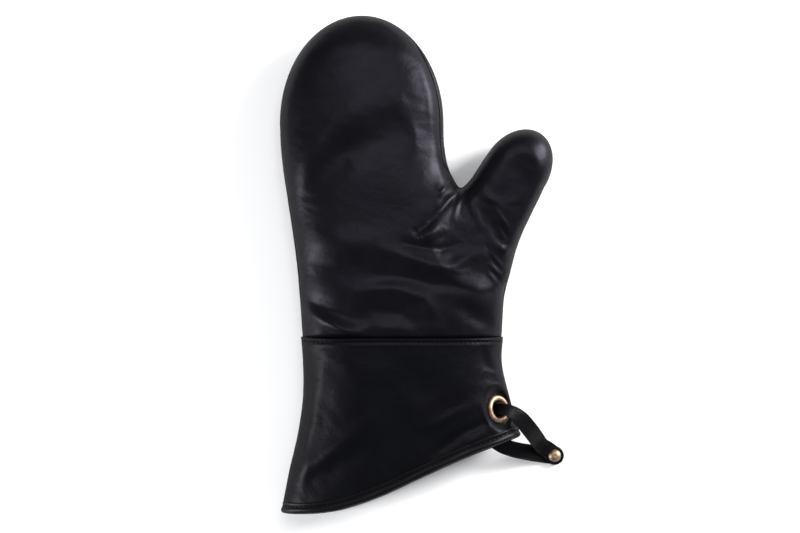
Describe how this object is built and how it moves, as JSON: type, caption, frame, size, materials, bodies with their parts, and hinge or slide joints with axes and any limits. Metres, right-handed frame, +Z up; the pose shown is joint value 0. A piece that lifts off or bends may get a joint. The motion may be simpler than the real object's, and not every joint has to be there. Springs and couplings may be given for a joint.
{
  "type": "oven mitt",
  "caption": "Padded leather oven mitt with a thumb, a flared cuff with a bound hem, and a strap loop that swings in a brass eyelet.",
  "frame": {"origin": "on the table, under the middle of the whole mitt with its hanging loop, lying palm down", "axes": "+Z up through the thickness, +Y towards the fingertips, +X towards the thumb"},
  "size_m": [0.2008, 0.3509, 0.0464],
  "materials": {
    "leather": "smooth semi-gloss black",
    "strap_leather": "smooth black with dark cut edges",
    "batting": "matt felted padding",
    "lining": "matt woven cotton",
    "thread": "waxed black thread",
    "brass": "antique brass, polished"
  },
  "bodies": {
    "mitt": {"back_hand_panel": "leather", "palm_hand_panel": "leather", "back_cuff_panel": "leather", "palm_cuff_panel": "leather", "back_batting": "batting", "palm_batting": "batting", "back_lining": "lining", "palm_lining": "lining", "hem_binding": "leather", "back_cuff_topstitch": "thread", "palm_cuff_topstitch": "thread", "hem_topstitch": "thread", "hem_inner_stitch": "thread", "lining_seam_thread": "thread", "eyelet": "brass", "eyelet_washer": "brass"},
    "loop": {"hanging_strap": "strap_leather", "rivet_cap": "brass", "rivet_post": "brass"}
  },
  "joints": [
    {"name": "loop_swing", "type": "hinge", "parent": "mitt", "child": "loop", "pos_m": [0.0522, -0.1002, 0.0298], "axis": [0.6597, 0.1799, 0.7297], "range_deg": [-34, 0]}
  ]
}
